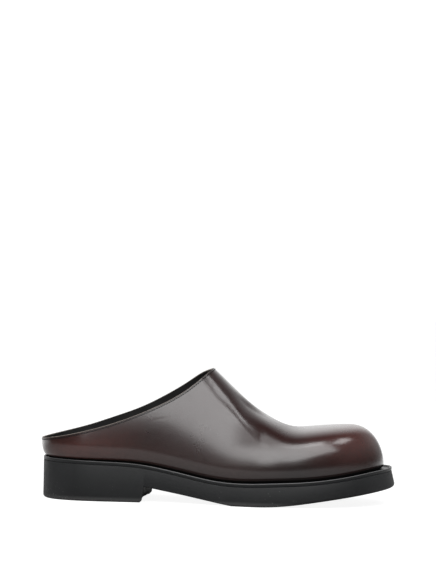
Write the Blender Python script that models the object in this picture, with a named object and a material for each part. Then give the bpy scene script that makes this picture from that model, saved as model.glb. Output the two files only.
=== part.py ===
"""A leather mule for the right foot, as four pieces: outsole with its heel, welt, upper and insole.

Metres, +Z up, +X towards the toe and +Y towards the inner side of the foot. The origin is on the
floor, under the middle of the shoe's length and width.
"""

import math
from collections import namedtuple

import bmesh
import bpy
import numpy as np

# Sole seen from above
SOLE_LENGTH = 0.3013
BALL_WIDTH = 0.110
HEEL_END_RADIUS = 0.034
TOE_END_RADIUS = 0.043

# Sole seen from the side: the height of its top edge, and what lies under it
HEEL_EDGE_HEIGHT = 0.0353
BALL_EDGE_HEIGHT = 0.0191
TOE_THICKNESS = 0.0167
TOE_SPRING = 0.015
TOE_SPRING_FROM = 0.1803
TOE_SPRING_BEND = 0.042
HEEL_BREAST_AT = 0.0895
HEEL_LIFT = 0.0134
ARCH_END_AT = 0.1633
BREAST_HOLLOW = 0.0025
BREAST_HOLLOW_REACH = 0.0367
BREAST_LEAN = 0.0015
BREAST_SLANT = 0.03  # forward, for each metre towards the inner side
BREAST_CHAMFER = 0.002
GROUND_EDGE_RADIUS = 0.0024
EDGE_FLARE = 0.0026
FLARE_WHOLE_AT = 0.7  # share of the length

# Welt: a flat strip let into the rim of the outsole, with a lip that stands round the upper
WELT_THICKNESS = 0.0028
WELT_LIP = 0.0012
WELT_LIP_WIDTH = 0.0022
WELT_SEAT_MARGIN = 0.003
EDGE_ROUNDING = 0.0006

# Upper
UPPER_WALL = 0.0022
COUNTER_OVERHANG = 0.0024
TOE_LEDGE = 0.0064
BALL_LEDGE = 0.0040
TUCK = 0.0032
TUCK_HEIGHT = 0.015
FOOT_ROLL = 0.0022
FOOT_ROLL_HEIGHT = 0.005
INSTEP_HEIGHT = 0.113
THROAT_AT = 0.1446
COLLAR_HEIGHT = 0.0513
TOE_BOX_HEIGHT = 0.0668
TOE_CROWN_AT = 0.2633
TOE_CROWN_BLEND = 0.022
HEEL_POLE_AT = 0.0355
RIDGE_SWING = 0.005

# Insole
INSOLE_THICKNESS = 0.0045
INSOLE_EDGE_ROUNDING = 0.001
INSOLE_SIDE_GAP = 0.0007

# Two pieces that touch keep this gap
GAP = 0.0003

# How finely the rings and sections are cut
STEPS_PER_SIDE = 46
STEPS_AT_THROAT = 6
THROAT_ZONE = 0.014
THROAT_CLEARANCE = 0.4  # of an even step, to the closer ones at the throat
FOOT_ROWS = (0, 0.4, 1)  # shares of the foot roll's height
UPPER_ROWS = 12
ROW_CROWDING = 1.35
RISE_SAMPLES = 801
LOW_RISE = 0.6
SMALL_TURN = 1e-4
SHARP_ANGLE = 35
MERGE_DISTANCE = 0.0001
CUTTER_STEPS_ACROSS = 9
CUTTER_OVERSIZE = 0.02

# Outline of the sole: a row for each station, as shares of the length and of half the ball width.
# The two ends are given by their radii instead.
Station = namedtuple("Station", "along half_width swing")
OUTLINE = [
    Station(0.000, None, 0.009),
    Station(0.033, 0.440, 0.007),
    Station(0.066, 0.556, 0.005),
    Station(0.132, 0.650, 0.000),
    Station(0.215, 0.658, -0.015),
    Station(0.281, 0.655, -0.026),
    Station(0.381, 0.675, -0.050),
    Station(0.497, 0.786, -0.055),
    Station(0.596, 0.916, -0.036),
    Station(0.662, 0.980, -0.016),
    Station(0.718, 1.000, 0.000),
    Station(0.778, 0.987, 0.011),
    Station(0.844, 0.918, 0.022),
    Station(0.911, 0.768, 0.040),
    Station(0.960, 0.546, 0.051),
    Station(1.000, None, 0.058),
]

# Side view of the sole: how far its top edge has climbed from the ball to the heel and to the toe,
# as shares of the whole climb.
Side = namedtuple("Side", "along to_heel to_toe")
SIDE_VIEW = [
    Side(0.00, 1.000, 0.000),
    Side(0.10, 0.945, 0.000),
    Side(0.20, 0.895, 0.000),
    Side(0.28, 0.810, 0.000),
    Side(0.35, 0.605, 0.000),
    Side(0.42, 0.340, 0.000),
    Side(0.48, 0.125, 0.000),
    Side(0.54, 0.010, 0.000),
    Side(0.60, 0.000, 0.010),
    Side(0.66, 0.000, 0.080),
    Side(0.73, 0.000, 0.170),
    Side(0.80, 0.000, 0.330),
    Side(0.87, 0.000, 0.575),
    Side(0.94, 0.000, 0.865),
    Side(1.00, 0.000, 1.020),
]

# Upper along its top line: height as a share of the climb from toe box to instep, and how far
# the ridge has moved to the inner side. Rows behind the throat only guide the walls.
Ridge = namedtuple("Ridge", "along climb swing")
RIDGE = [
    Ridge(0.000, 1.560, 0.000),
    Ridge(0.200, 1.520, 0.000),
    Ridge(0.320, 1.450, 0.100),
    Ridge(0.410, 1.290, 0.250),
    Ridge(0.480, 1.000, 0.450),
    Ridge(0.533, 0.676, 0.700),
    Ridge(0.578, 0.418, 0.900),
    Ridge(0.624, 0.190, 1.000),
    Ridge(0.670, 0.017, 1.000),
    Ridge(0.715, -0.064, 1.000),
    Ridge(0.761, -0.052, 0.950),
    Ridge(0.807, -0.024, 0.850),
    Ridge(0.852, -0.002, 0.700),
    Ridge(0.900, 0.004, 0.700),
]

# Top line of each side from the back of the heel to the throat: how far it has climbed from the
# collar at the heel to the instep.
TopLine = namedtuple("TopLine", "to_throat outer inner")
TOP_LINE = [
    TopLine(0.00, 0.000, 0.000),
    TopLine(0.12, 0.050, 0.069),
    TopLine(0.25, 0.119, 0.154),
    TopLine(0.40, 0.217, 0.276),
    TopLine(0.55, 0.343, 0.410),
    TopLine(0.70, 0.500, 0.588),
    TopLine(0.85, 0.706, 0.809),
    TopLine(0.94, 0.876, 0.948),
    TopLine(1.00, 1.000, 1.000),
]

# Cross section of the upper, a row for each station: how much of its height the wall rises upright
# before it turns in, how much of its reach to the ridge the crown runs level, how far out from the
# welt's lip it stands (0 at the heel, 1 at the ball, 2 at the toe), and how much of the tuck it has
# where it meets the welt.
Section = namedtuple("Section", "along upright crown ledge tuck")
SECTIONS = [
    Section(0.00, 0.46, 0.50, 0.0, 1.35),
    Section(0.20, 0.46, 0.52, 0.3, 1.10),
    Section(0.35, 0.46, 0.56, 0.7, 0.95),
    Section(0.50, 0.49, 0.57, 0.9, 0.90),
    Section(0.62, 0.66, 0.63, 0.98, 0.86),
    Section(0.70, 0.78, 0.70, 1.05, 0.80),
    Section(0.80, 0.80, 0.78, 1.2, 0.60),
    Section(0.92, 0.62, 0.73, 1.7, 0.30),
    Section(1.00, 0.50, 0.64, 2.0, 0.12),
]

MIDDLE_X = (SOLE_LENGTH - COUNTER_OVERHANG) / 2


def spline(knots, values, at, level_ends=False):
    """Cubic spline through the given values, natural at its ends or level there."""
    knots = np.asarray(knots, float)
    values = np.asarray(values, float)
    step = np.diff(knots)
    rise = np.diff(values) / step
    last = len(knots) - 1
    system = np.zeros((last + 1, last + 1))
    right = np.zeros(last + 1)
    for i in range(1, last):
        system[i, i - 1 : i + 2] = step[i - 1], 2 * (step[i - 1] + step[i]), step[i]
        right[i] = 6 * (rise[i] - rise[i - 1])
    system[0, 0] = system[last, last] = 1
    if level_ends:
        system[0, :2] = 2 * step[0], step[0]
        system[last, -2:] = step[-1], 2 * step[-1]
        right[0] = 6 * rise[0]
        right[last] = -6 * rise[-1]
    bend = np.linalg.solve(system, right)
    at = np.clip(at, knots[0], knots[-1])
    k = np.clip(np.searchsorted(knots, at, side="right") - 1, 0, last - 1)
    before = at - knots[k]
    after = knots[k + 1] - at
    cubic = (bend[k] * after**3 + bend[k + 1] * before**3) / (6 * step[k])
    start = (values[k] / step[k] - bend[k] * step[k] / 6) * after
    end = (values[k + 1] / step[k] - bend[k + 1] * step[k] / 6) * before
    return cubic + start + end


def column(table, name):
    """A named column of a table, as an array."""
    return np.array([getattr(row, name) for row in table], float)


def read(table, name, along):
    """A named column of a table as a smooth curve along the shoe."""
    return spline(column(table, table[0]._fields[0]), column(table, name), along)


def length_share(turn):
    """Share of the sole's length at a turn, which runs evenly round both ends."""
    return (1 - np.cos(math.pi * turn)) / 2


def fold(along):
    """The turn from 0 to 1 that lies at a share of the length."""
    return np.arccos(np.clip(1 - 2 * along, -1, 1)) / math.pi


def outline(turn):
    """Plan point of the sole's ground outline.

    turn is 0 at the heel, 1 at the toe along the outer side and 2 at the heel again. x follows the
    turn round half a circle, and the half width is that circle's sine times a smooth fullness, so
    both ends are round with their own radii.
    """
    along = length_share(turn)
    knots = fold(column(OUTLINE, "along"))
    inner_knots = slice(1, len(OUTLINE) - 1)
    fullness = np.empty(len(OUTLINE))
    fullness[0] = math.sqrt(HEEL_END_RADIUS * SOLE_LENGTH / 2)
    fullness[-1] = math.sqrt(TOE_END_RADIUS * SOLE_LENGTH / 2)
    widths = column(OUTLINE, "half_width")[inner_knots] * BALL_WIDTH / 2
    fullness[inner_knots] = widths / np.sin(math.pi * knots[inner_knots])
    swing = read(OUTLINE, "swing", along) * BALL_WIDTH / 2
    half = np.sin(math.pi * turn) * spline(knots, fullness, fold(along), level_ends=True)
    return np.stack([along * SOLE_LENGTH, swing - half], -1)


def inward(turn):
    """Unit vector in plan that points into the sole, square to its outline."""
    run = outline(turn + SMALL_TURN) - outline(turn - SMALL_TURN)
    run /= np.linalg.norm(run, axis=-1, keepdims=True)
    return np.stack([-run[..., 1], run[..., 0]], -1)


def edge_height(x):
    """Height of the sole's top edge."""
    along = x / SOLE_LENGTH
    heel = (HEEL_EDGE_HEIGHT - BALL_EDGE_HEIGHT) * read(SIDE_VIEW, "to_heel", along)
    toe = (TOE_SPRING + TOE_THICKNESS - BALL_EDGE_HEIGHT) * read(SIDE_VIEW, "to_toe", along)
    return BALL_EDGE_HEIGHT + heel + toe


def under_height(x):
    """Height of the underside without its arch: flat, a short parabola, then straight to the toe."""
    ahead = np.maximum(x - TOE_SPRING_FROM, 0)
    whole = SOLE_LENGTH - TOE_SPRING_FROM
    bend = min(TOE_SPRING_BEND, whole)
    climbed = np.where(ahead < bend, ahead**2 / (2 * bend), ahead - bend / 2)
    return TOE_SPRING * climbed / (whole - bend / 2)


def flare(turn):
    """How far the top edge stands back from the ground outline: nothing at the heel."""
    return EDGE_FLARE * np.clip(length_share(turn) / FLARE_WHOLE_AT, 0, 1) ** 2


def section(turn, name):
    """A named column of the upper's sections, read at a station."""
    return read(SECTIONS, name, length_share(turn))


def girth_inset(turn):
    """How far the upper's widest line stands in from the ground outline: it hangs over at the heel."""
    steps = spline([0, 1, 2], [-COUNTER_OVERHANG, BALL_LEDGE, TOE_LEDGE], section(turn, "ledge"))
    return flare(turn) + steps


def tuck(turn, height):
    """How far the upper draws in at a height above its foot: softly, then rolled under."""
    soft = np.clip(1 - height / TUCK_HEIGHT, 0, 1)
    rolled = np.clip(1 - height / FOOT_ROLL_HEIGHT, 0, 1)
    return TUCK * section(turn, "tuck") * soft**2 + FOOT_ROLL * rolled**2


def foot_inset(turn):
    """How far the outside of the upper's foot stands in from the ground outline."""
    return girth_inset(turn) + tuck(turn, 0)


def seat_height(x):
    """Height of the ledge that the upper and the insole stand on."""
    return edge_height(x) - WELT_LIP


def foot_height(turn):
    """Height of the upper's foot, just clear of its seat."""
    foot = outline(turn) + inward(turn) * foot_inset(turn)[..., None]
    return seat_height(foot[..., 0]) + GAP


def settle(x, low, high, blend):
    """x held between two limits, with a smooth bend of the given half length at each."""

    def eased(past):
        u = np.clip((past + blend) / (2 * blend), 0, 1)
        bent = 2 * blend * (u - u**3 + u**4 / 2) - blend
        return np.where(past < -blend, past, bent)

    return low - eased(low - high - eased(x - high))


def ridge_point(x):
    """Point of the upper's top line that belongs to the stations at x. All round the toe it is one point."""
    at = settle(x, HEEL_POLE_AT, TOE_CROWN_AT, TOE_CROWN_BLEND)
    along = at / SOLE_LENGTH
    z = TOE_BOX_HEIGHT + (INSTEP_HEIGHT - TOE_BOX_HEIGHT) * read(RIDGE, "climb", along)
    return at, RIDGE_SWING * read(RIDGE, "swing", along), z


def upper_arch(turn, rise):
    """Outside of the upper before the tuck: plan point, and height above the foot.

    rise runs from 0 at the foot to 1 at the ridge. Each station is a cubic Bezier arch in the
    upright plane from the girth line to the ridge: it starts upright and ends level.
    """
    start = outline(turn)
    base = start + inward(turn) * girth_inset(turn)[..., None]
    ridge_x, ridge_y, ridge_z = ridge_point(start[..., 0])
    across = np.stack([ridge_x, ridge_y], -1) - base
    level = 1 - section(turn, "crown")
    upright = section(turn, "upright")
    left = 1 - rise
    in_share = 3 * left * rise**2 * level + rise**3
    up_share = 3 * left**2 * rise * upright + 3 * left * rise**2 + rise**3
    return base + across * in_share[..., None], (ridge_z - foot_height(turn)) * up_share


def upper_point(turn, rise):
    """Point of the upper's outside, drawn in at its foot."""
    plan, height = upper_arch(turn, rise)
    plan = plan + inward(turn) * tuck(turn, height)[..., None]
    return np.stack([plan[..., 0] - MIDDLE_X, plan[..., 1], foot_height(turn) + height], -1)


def wall_inset(turns, height):
    """How far the inside of the upper stands in from the ground outline, at a height above its foot.

    The outside moves in by the wall's thickness, square to itself, and its foot stays level.
    """
    grid, rises = np.meshgrid(turns, np.linspace(0, LOW_RISE, RISE_SAMPLES), indexing="ij")
    plan, outer_height = upper_arch(grid, rises)
    outer = np.sum((plan - outline(grid)) * inward(grid), axis=-1) + tuck(grid, outer_height)
    slope = -np.gradient(outer, axis=1) / np.gradient(outer_height, axis=1)
    steepness = np.hypot(1, slope)
    inner = outer + UPPER_WALL / steepness
    inner_height = outer_height + UPPER_WALL * slope / steepness
    inner[:, 0] = outer[:, 0] + UPPER_WALL * steepness[:, 0]
    inner_height[:, 0] = 0
    return np.array([np.interp(height, up, inset) for up, inset in zip(inner_height, inner)])


def ring(turns, inset, height, drop=0.0):
    """A closed ring of points: the outline moved in, at a height that is a function of x."""
    points = outline(turns) + inward(turns) * np.reshape(inset, (-1, 1))
    x, y = points.T
    return np.column_stack([x - MIDDLE_X, y, height(x) - drop])


def ring_turns():
    """Turns of a ring's stations. Even turns lie closest together round the toe and the heel."""
    return np.arange(2 * STEPS_PER_SIDE) / STEPS_PER_SIDE


def new_object(name, build, material):
    """An object whose mesh is filled by build(bm), smooth except at its real edges."""
    mesh = bpy.data.meshes.new(name)
    bm = bmesh.new()
    build(bm)
    bm.to_mesh(mesh)
    bm.free()
    mesh.shade_smooth()
    mesh.set_sharp_from_angle(angle=math.radians(SHARP_ANGLE))
    mesh.materials.append(material)
    made = bpy.data.objects.new(name, mesh)
    bpy.context.scene.collection.objects.link(made)
    return made


def add_rings(bm, rings, closed=False):
    """Faces between rings that follow one another, and the rings' vertices."""
    made = [[bm.verts.new(point) for point in points] for points in rings]
    pairs = list(zip(made, made[1:]))
    if closed:
        pairs.append((made[-1], made[0]))
    for low, high in pairs:
        count = len(low)
        for i in range(count):
            j = (i + 1) % count
            bm.faces.new((low[i], low[j], high[j], high[i]))
    return made


def add_cap(bm, loop, up):
    """Closes a ring with strips from its outer side to its inner side."""
    count = len(loop)
    for i in range(count // 2):
        corners = []
        for k in (i, i + 1, count - i - 1, count - i):
            if loop[k % count] not in corners:
                corners.append(loop[k % count])
        bm.faces.new(corners if up else corners[::-1])


def add_block(bm, rings):
    """A closed block from rings that follow one another upwards."""
    made = add_rings(bm, rings)
    add_cap(bm, made[0], up=False)
    add_cap(bm, made[-1], up=True)


def finish(name, colour, roughness):
    """A plain Principled material with a colour and a roughness."""
    material = bpy.data.materials.new(name)
    material.use_nodes = True
    shader = material.node_tree.nodes["Principled BSDF"]
    shader.inputs["Base Color"].default_value = (*colour, 1)
    shader.inputs["Roughness"].default_value = roughness
    shader.inputs["Metallic"].default_value = 0
    return material


def welt_inner(turns):
    """Inset of the welt's inner edge, under the foot of the upper and a little further in."""
    return foot_inset(turns) + UPPER_WALL + WELT_SEAT_MARGIN


def make_outsole(material):
    """Rubber sole and heel in one, with a rebate round its top for the welt and an arch underneath."""
    turns = ring_turns()
    lean = flare(turns)
    rebate = welt_inner(turns) + GAP
    rebate_floor = WELT_THICKNESS + GAP
    near_corner = GROUND_EDGE_RADIUS * (1 - math.sqrt(0.5))
    rings = [
        ring(turns, GROUND_EDGE_RADIUS, under_height),
        ring(turns, near_corner, under_height, -near_corner),
        ring(turns, 0, under_height, -GROUND_EDGE_RADIUS),
        ring(turns, lean, edge_height, rebate_floor),
        ring(turns, rebate, edge_height, rebate_floor),
        ring(turns, rebate, edge_height, WELT_LIP),
    ]
    outsole = new_object("outsole", lambda bm: add_block(bm, rings), material)
    cut = outsole.modifiers.new("arch", "BOOLEAN")
    cut.operation = "DIFFERENCE"
    cut.solver = "EXACT"
    cut.object = make_arch_cutter()
    return outsole


def make_arch_cutter():
    """Wedge that leaves the heel: a hollow breast with a chamfered foot, then a ramp to the ball."""
    rings = []
    for share in np.linspace(-1, 1, CUTTER_STEPS_ACROSS):
        y = share * (BALL_WIDTH / 2 + CUTTER_OVERSIZE)
        hollow = BREAST_HOLLOW * max(0, 1 - (y / BREAST_HOLLOW_REACH) ** 2)
        breast = HEEL_BREAST_AT + BREAST_SLANT * y - hollow
        profile = [
            (breast - BREAST_CHAMFER, -CUTTER_OVERSIZE),
            (breast - BREAST_CHAMFER, 0),
            (breast, BREAST_CHAMFER),
            (breast + BREAST_LEAN, HEEL_LIFT),
            (ARCH_END_AT, 0),
            (ARCH_END_AT, -CUTTER_OVERSIZE),
        ]
        rings.append([(x - MIDDLE_X, y, z) for x, z in profile])

    def build(bm):
        made = add_rings(bm, rings)
        bm.faces.new(made[0])
        bm.faces.new(made[-1])
        bmesh.ops.recalc_face_normals(bm, faces=bm.faces)

    cutter = new_object("arch_cutter", build, finish("cutter", (1, 0, 0), 1))
    cutter.hide_render = True
    cutter.display_type = "WIRE"
    return cutter


def make_welt(material):
    """Rubber strip let into the outsole's rim: a lip outside, and a lower ledge inside for the upper."""
    turns = ring_turns()
    lean = flare(turns)
    lip = np.minimum(WELT_LIP_WIDTH, foot_inset(turns) - GAP - lean)
    rounding = np.minimum(EDGE_ROUNDING, lip / 3)
    inner = welt_inner(turns)
    rings = [
        ring(turns, inner, edge_height, WELT_THICKNESS),
        ring(turns, lean, edge_height, WELT_THICKNESS),
        ring(turns, lean, edge_height, rounding),
        ring(turns, lean + rounding, edge_height),
        ring(turns, lean + lip - rounding, edge_height),
        ring(turns, lean + lip, edge_height, WELT_LIP),
        ring(turns, inner, edge_height, WELT_LIP),
    ]
    return new_object("welt", lambda bm: add_rings(bm, rings, closed=True), material)


def make_insole(material):
    """Insole board and sock in one, that fills the floor of the upper."""
    turns = ring_turns()
    top = GAP + INSOLE_THICKNESS
    shoulder = top - INSOLE_EDGE_ROUNDING
    rings = [
        ring(turns, INSOLE_SIDE_GAP + wall_inset(turns, 0), seat_height, -GAP),
        ring(turns, INSOLE_SIDE_GAP + wall_inset(turns, shoulder), seat_height, -shoulder),
        ring(turns, INSOLE_SIDE_GAP + wall_inset(turns, top) + INSOLE_EDGE_ROUNDING, seat_height, -top),
    ]
    return new_object("insole", lambda bm: add_block(bm, rings), material)


def upper_turns():
    """The rings' turns, with closer ones just behind the throat, where the top line swings over."""
    steps = np.linspace(0, 1, STEPS_AT_THROAT + 1)
    near = fold((THROAT_AT - THROAT_ZONE * steps**2) / SOLE_LENGTH)
    side = ring_turns()[: STEPS_PER_SIDE + 1]
    room = THROAT_CLEARANCE / STEPS_PER_SIDE
    side = side[(side < near.min() - room) | (side > near.max() + room)]
    side = np.sort(np.concatenate([side, near]))
    return np.concatenate([side, 2 - side[-2:0:-1]])


def top_line_height(turns):
    """Height at which each station behind the throat is cut off, as seen at its own x."""
    to_throat = np.clip(outline(turns)[:, 0] / THROAT_AT, 0, 1)
    climb = np.where(turns < 1, read(TOP_LINE, "outer", to_throat), read(TOP_LINE, "inner", to_throat))
    return COLLAR_HEIGHT + (INSTEP_HEIGHT - COLLAR_HEIGHT) * climb


def rise_at(turns, wanted):
    """How far up each station reaches the height wanted there."""
    rise = np.linspace(0, 1, RISE_SAMPLES)
    grid, rises = np.meshgrid(turns, rise, indexing="ij")
    heights = upper_point(grid, rises)[..., 2]
    return np.array([np.interp(height, up, rise) for height, up in zip(wanted, heights)])


def upper_rises(turns):
    """Rows of the upper at each station: its foot, then up to the top line or, ahead of it, the ridge."""
    foot = foot_height(turns)
    low = [rise_at(turns, foot + FOOT_ROLL_HEIGHT * share) for share in FOOT_ROWS]
    cut = rise_at(turns, top_line_height(turns))
    last = np.where(outline(turns)[:, 0] < THROAT_AT - MERGE_DISTANCE, cut, 1)
    shares = np.linspace(0, 1, UPPER_ROWS + 1)[1:] ** ROW_CROWDING
    return np.stack(low + [low[-1] + (last - low[-1]) * share for share in shares])


def make_upper(material):
    """One leather shell: cut off along the top line behind the throat, whole ahead of it, open underneath."""
    turns = upper_turns()
    rises = upper_rises(turns)
    points = upper_point(turns + 0 * rises, rises)

    def build(bm):
        made = add_rings(bm, points)
        bmesh.ops.remove_doubles(bm, verts=made[-1], dist=MERGE_DISTANCE)
        bm.normal_update()
        outside = list(bm.faces)
        feet = set(made[0])
        inner = {}
        for vert in list(bm.verts):
            into = -vert.normal
            if vert in feet:
                # The foot stands flat on the welt, with the wall's full thickness there.
                into = into.xy.to_3d() / into.xy.length_squared
            inner[vert] = bm.verts.new(vert.co + into * UPPER_WALL)
        rims = [edge for edge in bm.edges if edge.is_boundary]
        for face in outside:
            bm.faces.new([inner[vert] for vert in reversed(face.verts)])
        for edge in rims:
            loop = edge.link_loops[0]
            here, there = loop.vert, loop.link_loop_next.vert
            bm.faces.new((there, here, inner[here], inner[there]))

    return new_object("upper", build, material)


def main():
    for old in list(bpy.data.objects):
        bpy.data.objects.remove(old)
    rubber = finish("black_rubber", (0.028, 0.030, 0.032), 0.55)
    strip = finish("black_welt", (0.035, 0.036, 0.037), 0.5)
    brown = finish("burnished_leather", (0.060, 0.022, 0.016), 0.3)
    sock = finish("black_sock", (0.012, 0.012, 0.012), 0.6)
    make_outsole(rubber)
    make_welt(strip)
    make_upper(brown)
    make_insole(sock)


main()
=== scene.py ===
import math
from collections import namedtuple

import bpy
import numpy as np
from mathutils import Matrix, Vector


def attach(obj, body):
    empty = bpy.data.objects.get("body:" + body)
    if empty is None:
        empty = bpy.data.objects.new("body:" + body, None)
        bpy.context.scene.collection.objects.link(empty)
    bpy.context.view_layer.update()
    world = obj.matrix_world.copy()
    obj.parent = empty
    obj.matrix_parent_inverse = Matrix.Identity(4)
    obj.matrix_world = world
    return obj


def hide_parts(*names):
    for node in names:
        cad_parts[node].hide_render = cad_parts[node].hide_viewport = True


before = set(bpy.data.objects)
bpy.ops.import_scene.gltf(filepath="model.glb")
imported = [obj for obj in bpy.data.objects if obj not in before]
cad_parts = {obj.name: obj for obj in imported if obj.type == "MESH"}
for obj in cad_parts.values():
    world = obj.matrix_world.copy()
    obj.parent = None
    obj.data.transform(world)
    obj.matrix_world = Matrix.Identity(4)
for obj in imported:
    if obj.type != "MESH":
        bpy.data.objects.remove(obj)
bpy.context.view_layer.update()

# OUTSOLE
# The ground piece of a leather mule for the right foot: black rubber, moulded in one with its heel.
# It is cemented under the welt. Its sides are plain, and a fine tread is moulded into the underside.

SOLE_LENGTH = 0.3013
BALL_WIDTH = 0.110
HEEL_END_RADIUS = 0.034
TOE_END_RADIUS = 0.043
HEEL_EDGE_HEIGHT = 0.0353
BALL_EDGE_HEIGHT = 0.0191
TOE_THICKNESS = 0.0167
TOE_SPRING = 0.015
TOE_SPRING_FROM = 0.1803
TOE_SPRING_BEND = 0.042
HEEL_BREAST_AT = 0.0895
HEEL_LIFT = 0.0134
ARCH_END_AT = 0.1633
BREAST_HOLLOW = 0.0025
BREAST_HOLLOW_REACH = 0.0367
BREAST_LEAN = 0.0015
BREAST_SLANT = 0.03
BREAST_CHAMFER = 0.002
GROUND_EDGE_RADIUS = 0.0024
EDGE_FLARE = 0.0026
FLARE_WHOLE_AT = 0.7
WELT_THICKNESS = 0.0028
WELT_LIP = 0.0012
WELT_SEAT_MARGIN = 0.003
UPPER_WALL = 0.0022
COUNTER_OVERHANG = 0.0024
TOE_LEDGE = 0.0064
BALL_LEDGE = 0.0040
TUCK = 0.0032
TUCK_HEIGHT = 0.015
FOOT_ROLL = 0.0022
FOOT_ROLL_HEIGHT = 0.005
GAP = 0.0003
MIDDLE_X = (SOLE_LENGTH - COUNTER_OVERHANG) / 2
SMALL_TURN = 1e-4
WELD_DISTANCE = 1e-6
QUARTER_STEPS = 6

# Outline of the sole, as shares of the length and of half the ball width.
Station = namedtuple("Station", "along half_width swing")
OUTLINE = [
    Station(0.000, None, 0.009),
    Station(0.033, 0.440, 0.007),
    Station(0.066, 0.556, 0.005),
    Station(0.132, 0.650, 0.000),
    Station(0.215, 0.658, -0.015),
    Station(0.281, 0.655, -0.026),
    Station(0.381, 0.675, -0.050),
    Station(0.497, 0.786, -0.055),
    Station(0.596, 0.916, -0.036),
    Station(0.662, 0.980, -0.016),
    Station(0.718, 1.000, 0.000),
    Station(0.778, 0.987, 0.011),
    Station(0.844, 0.918, 0.022),
    Station(0.911, 0.768, 0.040),
    Station(0.960, 0.546, 0.051),
    Station(1.000, None, 0.058),
]

# Height of the sole's top edge, as shares of its climbs from the ball to the heel and to the toe.
Side = namedtuple("Side", "along to_heel to_toe")
SIDE_VIEW = [
    Side(0.00, 1.000, 0.000),
    Side(0.10, 0.945, 0.000),
    Side(0.20, 0.895, 0.000),
    Side(0.28, 0.810, 0.000),
    Side(0.35, 0.605, 0.000),
    Side(0.42, 0.340, 0.000),
    Side(0.48, 0.125, 0.000),
    Side(0.54, 0.010, 0.000),
    Side(0.60, 0.000, 0.010),
    Side(0.66, 0.000, 0.080),
    Side(0.73, 0.000, 0.170),
    Side(0.80, 0.000, 0.330),
    Side(0.87, 0.000, 0.575),
    Side(0.94, 0.000, 0.865),
    Side(1.00, 0.000, 1.020),
]

# Shape of the upper at each station. The sole needs its ledge and its tuck, which say where the
# upper's foot stands.
Section = namedtuple("Section", "along upright crown ledge tuck")
SECTIONS = [
    Section(0.00, 0.46, 0.50, 0.0, 1.35),
    Section(0.20, 0.46, 0.52, 0.3, 1.10),
    Section(0.35, 0.46, 0.56, 0.7, 0.95),
    Section(0.50, 0.49, 0.57, 0.9, 0.90),
    Section(0.62, 0.66, 0.63, 0.98, 0.86),
    Section(0.70, 0.78, 0.70, 1.05, 0.80),
    Section(0.80, 0.80, 0.78, 1.2, 0.60),
    Section(0.92, 0.62, 0.73, 1.7, 0.30),
    Section(1.00, 0.50, 0.64, 2.0, 0.12),
]


def spline(knots, values, at, level_ends=False):
    """Cubic through the values whose slope and bend run on at each knot; its ends are straight,
    or level if asked."""
    knots = np.asarray(knots, float)
    values = np.asarray(values, float)
    step = np.diff(knots)
    rise = np.diff(values) / step
    last = len(knots) - 1
    system = np.zeros((last + 1, last + 1))
    right = np.zeros(last + 1)
    inside = np.arange(1, last)
    system[inside, inside - 1] = step[:-1]
    system[inside, inside] = 2 * (step[:-1] + step[1:])
    system[inside, inside + 1] = step[1:]
    right[1:-1] = 6 * np.diff(rise)
    system[0, 0] = system[last, last] = 1
    if level_ends:
        system[0, :2] = 2 * step[0], step[0]
        system[last, -2:] = step[-1], 2 * step[-1]
        right[0] = 6 * rise[0]
        right[last] = -6 * rise[-1]
    bend = np.linalg.solve(system, right)
    at = np.clip(at, knots[0], knots[-1])
    k = np.clip(np.searchsorted(knots, at, side="right") - 1, 0, last - 1)
    before = at - knots[k]
    after = knots[k + 1] - at
    cubic = (bend[k] * after**3 + bend[k + 1] * before**3) / (6 * step[k])
    start = (values[k] / step[k] - bend[k] * step[k] / 6) * after
    end = (values[k + 1] / step[k] - bend[k + 1] * step[k] / 6) * before
    return cubic + start + end


def column(table, name):
    """One column of a table as an array."""
    return np.array([getattr(row, name) for row in table], float)


def read(table, name, along):
    """A column of a table as a smooth curve along the shoe."""
    return spline(column(table, table[0]._fields[0]), column(table, name), along)


def length_share(turn):
    """Share of the sole's length at a turn: half of one less the cosine of the turn's angle."""
    return (1 - np.cos(math.pi * turn)) / 2


def fold(along):
    """The turn from 0 to 1 that lies at a share of the length: the arc cosine undoes length_share."""
    return np.arccos(np.clip(1 - 2 * along, -1, 1)) / math.pi


def outline(turn):
    """Plan point of the ground outline. turn is 0 at the heel, 1 at the toe along the outer side and
    2 at the heel again. The half width is the sine of the turn's angle times a smooth fullness."""
    along = length_share(turn)
    knots = fold(column(OUTLINE, "along"))
    fullness = np.empty(len(OUTLINE))
    fullness[0] = math.sqrt(HEEL_END_RADIUS * SOLE_LENGTH / 2)
    fullness[-1] = math.sqrt(TOE_END_RADIUS * SOLE_LENGTH / 2)
    widths = column(OUTLINE, "half_width")[1:-1] * BALL_WIDTH / 2
    fullness[1:-1] = widths / np.sin(math.pi * knots[1:-1])
    swing = read(OUTLINE, "swing", along) * BALL_WIDTH / 2
    half = np.sin(math.pi * turn) * spline(knots, fullness, fold(along), level_ends=True)
    return np.stack([along * SOLE_LENGTH, swing - half], -1)


def inward(turn):
    """Unit vector square to the outline, into the sole: its run turned a quarter to the left."""
    run = outline(turn + SMALL_TURN) - outline(turn - SMALL_TURN)
    run /= np.linalg.norm(run, axis=-1, keepdims=True)
    return np.stack([-run[..., 1], run[..., 0]], -1)


def edge_height(x):
    """Height of the sole's top edge: the ball's height plus its climbs to the heel and to the toe."""
    along = x / SOLE_LENGTH
    heel = (HEEL_EDGE_HEIGHT - BALL_EDGE_HEIGHT) * read(SIDE_VIEW, "to_heel", along)
    toe = (TOE_SPRING + TOE_THICKNESS - BALL_EDGE_HEIGHT) * read(SIDE_VIEW, "to_toe", along)
    return BALL_EDGE_HEIGHT + heel + toe


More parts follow.
